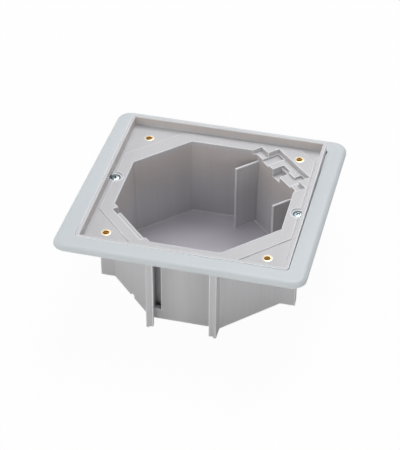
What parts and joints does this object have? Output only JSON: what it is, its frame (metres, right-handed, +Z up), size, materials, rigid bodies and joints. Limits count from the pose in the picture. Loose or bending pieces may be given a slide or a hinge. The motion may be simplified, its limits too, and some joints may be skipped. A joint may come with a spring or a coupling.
{
  "type": "floor socket box",
  "caption": "Underfloor box for power and data sockets: square trim frame and tray over an octagonal box, with brass cover inserts, side rails and screw-driven floor clamps.",
  "frame": {"origin": "centre of the square of four brass inserts, on the top face of the tray's ledge", "axes": "+Z up out of the floor, +Y to the back edge, +X to the right; the stepped corner is at +X +Y"},
  "size_m": [0.2012, 0.201, 0.0862],
  "materials": {
    "body_plastic": "satin moulded",
    "frame_plastic": "satin moulded",
    "slider_plastic": "moulded",
    "brass": "turned",
    "zinc_steel": "zinc plated"
  },
  "bodies": {
    "box": {"box_body": "body_plastic", "insert_back_left": "brass", "insert_back_right": "brass", "insert_front_left": "brass", "insert_front_right": "brass"},
    "frame": {"trim_frame": "frame_plastic"},
    "screw_left": {"clamp_screw_left": "zinc_steel", "screw_clip_left": "zinc_steel"},
    "slider_left": {"clamp_slider_left": "slider_plastic", "clamp_nut_left": "zinc_steel"},
    "arm_left": {"clamp_arm_left": "zinc_steel"},
    "screw_right": {"clamp_screw_right": "zinc_steel", "screw_clip_right": "zinc_steel"},
    "slider_right": {"clamp_slider_right": "slider_plastic", "clamp_nut_right": "zinc_steel"},
    "arm_right": {"clamp_arm_right": "zinc_steel"}
  },
  "joints": [
    {"name": "frame_slide", "type": "slide", "parent": "box", "child": "frame", "axis": [0, 0, 1], "range_m": [-0.008, 0.06]},
    {"name": "screw_spin_left", "type": "hinge", "parent": "box", "child": "screw_left", "pos_m": [-0.0777, 0.0055, 0], "axis": [0, 0, 1], "range_deg": [0, 21600]},
    {"name": "clamp_travel_left", "type": "slide", "parent": "box", "child": "slider_left", "axis": [0, 0, 1], "range_m": [-0.042, 0]},
    {"name": "arm_swing_left", "type": "hinge", "parent": "slider_left", "child": "arm_left", "pos_m": [-0.0777, 0.0055, -0.0123], "axis": [0, 0, -1], "range_deg": [0, 90]},
    {"name": "screw_spin_right", "type": "hinge", "parent": "box", "child": "screw_right", "pos_m": [0.0777, -0.0055, 0], "axis": [0, 0, 1], "range_deg": [0, 21600]},
    {"name": "clamp_travel_right", "type": "slide", "parent": "box", "child": "slider_right", "axis": [0, 0, 1], "range_m": [-0.042, 0]},
    {"name": "arm_swing_right", "type": "hinge", "parent": "slider_right", "child": "arm_right", "pos_m": [0.0777, -0.0055, -0.0123], "axis": [0, 0, -1], "range_deg": [0, 90]}
  ],
  "couplings": [
    {"joint": "screw_spin_left", "follows": "clamp_travel_left", "rad_per_m": -8976},
    {"joint": "screw_spin_right", "follows": "clamp_travel_right", "rad_per_m": -8976}
  ]
}
